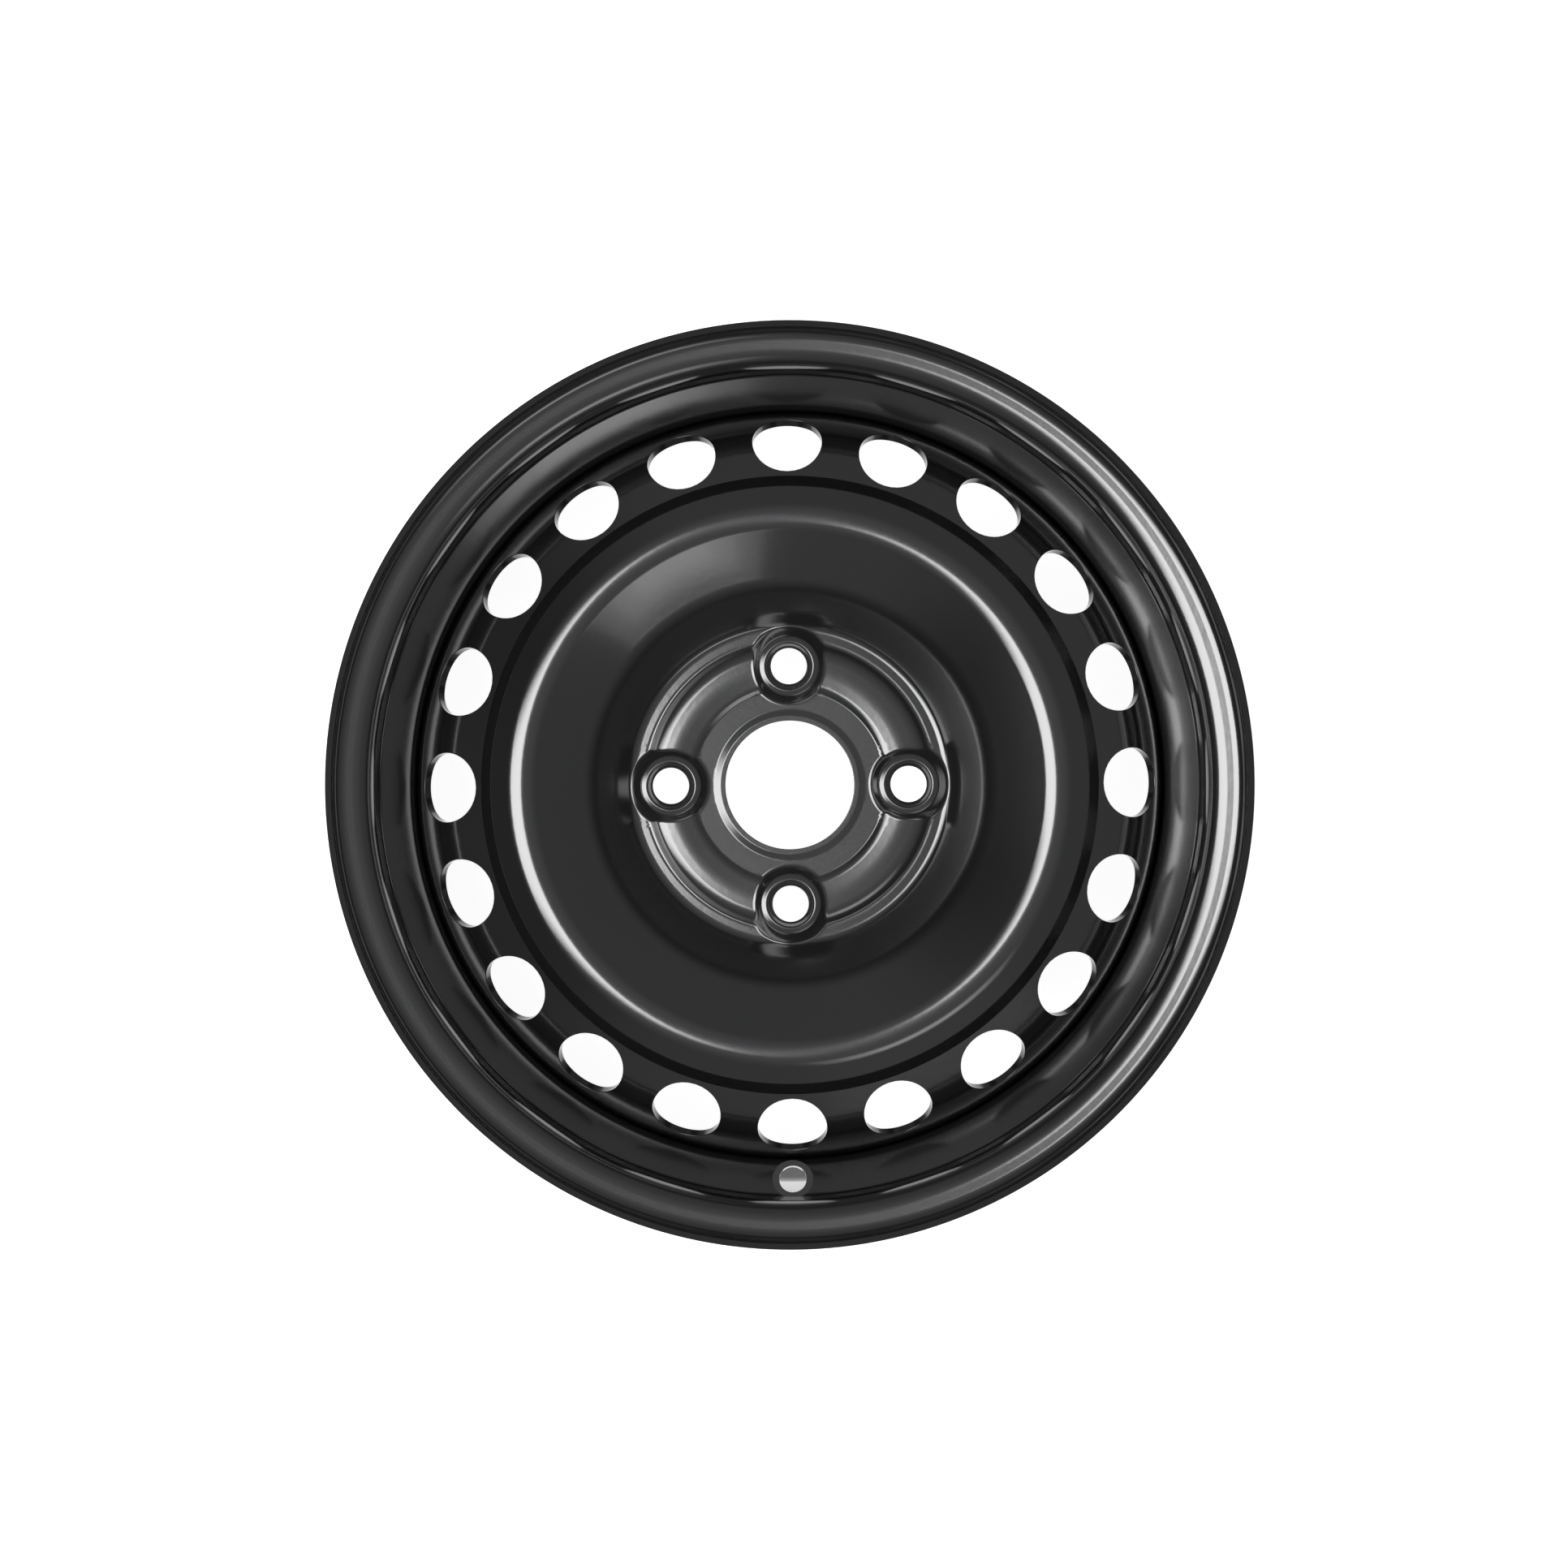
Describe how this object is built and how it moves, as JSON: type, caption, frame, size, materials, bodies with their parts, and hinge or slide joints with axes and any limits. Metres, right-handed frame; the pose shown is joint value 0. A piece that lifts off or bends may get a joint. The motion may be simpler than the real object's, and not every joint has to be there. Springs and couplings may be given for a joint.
{
  "type": "wheel rim",
  "caption": "Bare pressed-steel car wheel rim: a drop-centre rim band with a welded, dished disc that has a hub bore, cone bolt seats and a ring of round vents.",
  "frame": {"origin": "on the spin axis, in the plane where the disc meets the hub", "axes": "+Z along the spin axis, outboard; -Y towards the valve hole"},
  "size_m": [0.3894, 0.3892, 0.1621],
  "materials": {
    "black_paint": "semi-gloss black stoving paint over pressed steel"
  },
  "bodies": {
    "root": {"rim_band": "black_paint", "wheel_disc": "black_paint", "weld_beads": "black_paint"}
  },
  "joints": []
}
